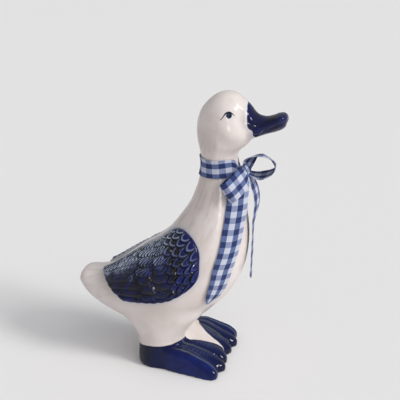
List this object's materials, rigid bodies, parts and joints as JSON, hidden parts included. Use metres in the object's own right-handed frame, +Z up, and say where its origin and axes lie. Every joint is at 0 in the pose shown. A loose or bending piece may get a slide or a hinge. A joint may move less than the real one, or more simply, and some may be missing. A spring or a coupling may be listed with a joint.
{
  "type": "porcelain duck figurine",
  "caption": "Standing glazed duck with raised head, folded scale-carved wings, webbed feet joined by an apron, and a checked ribbon tied in a bow round its neck",
  "frame": {"origin": "on the ground, in the middle of the bounding box of the whole object", "axes": "+X the way the duck faces, +Y its left side, +Z up"},
  "size_m": [0.1409, 0.0722, 0.1874],
  "materials": {
    "glazed_porcelain": "glossy cream-white glaze, cobalt blue on bill, wings and feet",
    "gingham_cloth": "matt woven check of blue and white"
  },
  "bodies": {
    "root": {"porcelain_duck": "glazed_porcelain", "gingham_ribbon": "gingham_cloth"}
  },
  "joints": []
}
